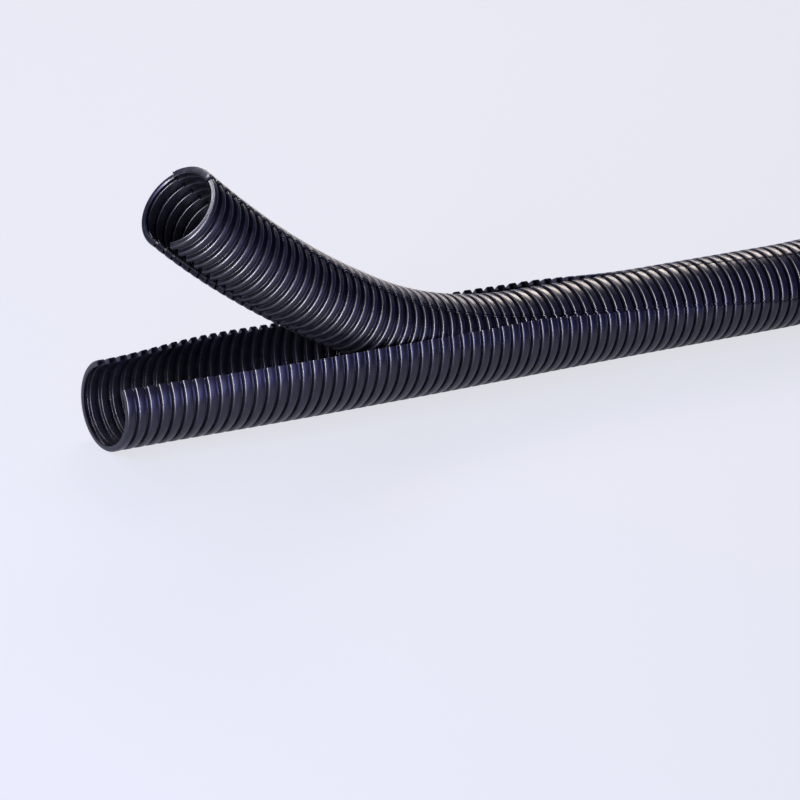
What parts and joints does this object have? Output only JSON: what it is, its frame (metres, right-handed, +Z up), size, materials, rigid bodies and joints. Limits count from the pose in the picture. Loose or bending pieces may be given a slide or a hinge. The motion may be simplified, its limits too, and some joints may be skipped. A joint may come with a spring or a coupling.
{
  "type": "corrugated_conduit",
  "caption": "Divisible corrugated conduit in black plastic: a C-shaped outer shell with a snap-in slit inner shell, closed over one end and parted into two arms at the other.",
  "frame": {"origin": "on the floor, under the middle of the overall box", "axes": "+X runs along the straight closed run, away from the two open mouths; +Z is up; -Y is the side to which the gap in the outer shell turns along the closed run"},
  "size_m": [1.0056, 0.1448, 0.2525],
  "materials": {
    "outer_black": "satin, extruded and moulded polypropylene, black",
    "inner_black": "satin, extruded and moulded polypropylene, black"
  },
  "bodies": {
    "root": {"outer_shell": "outer_black", "inner_shell": "inner_black"}
  },
  "joints": []
}
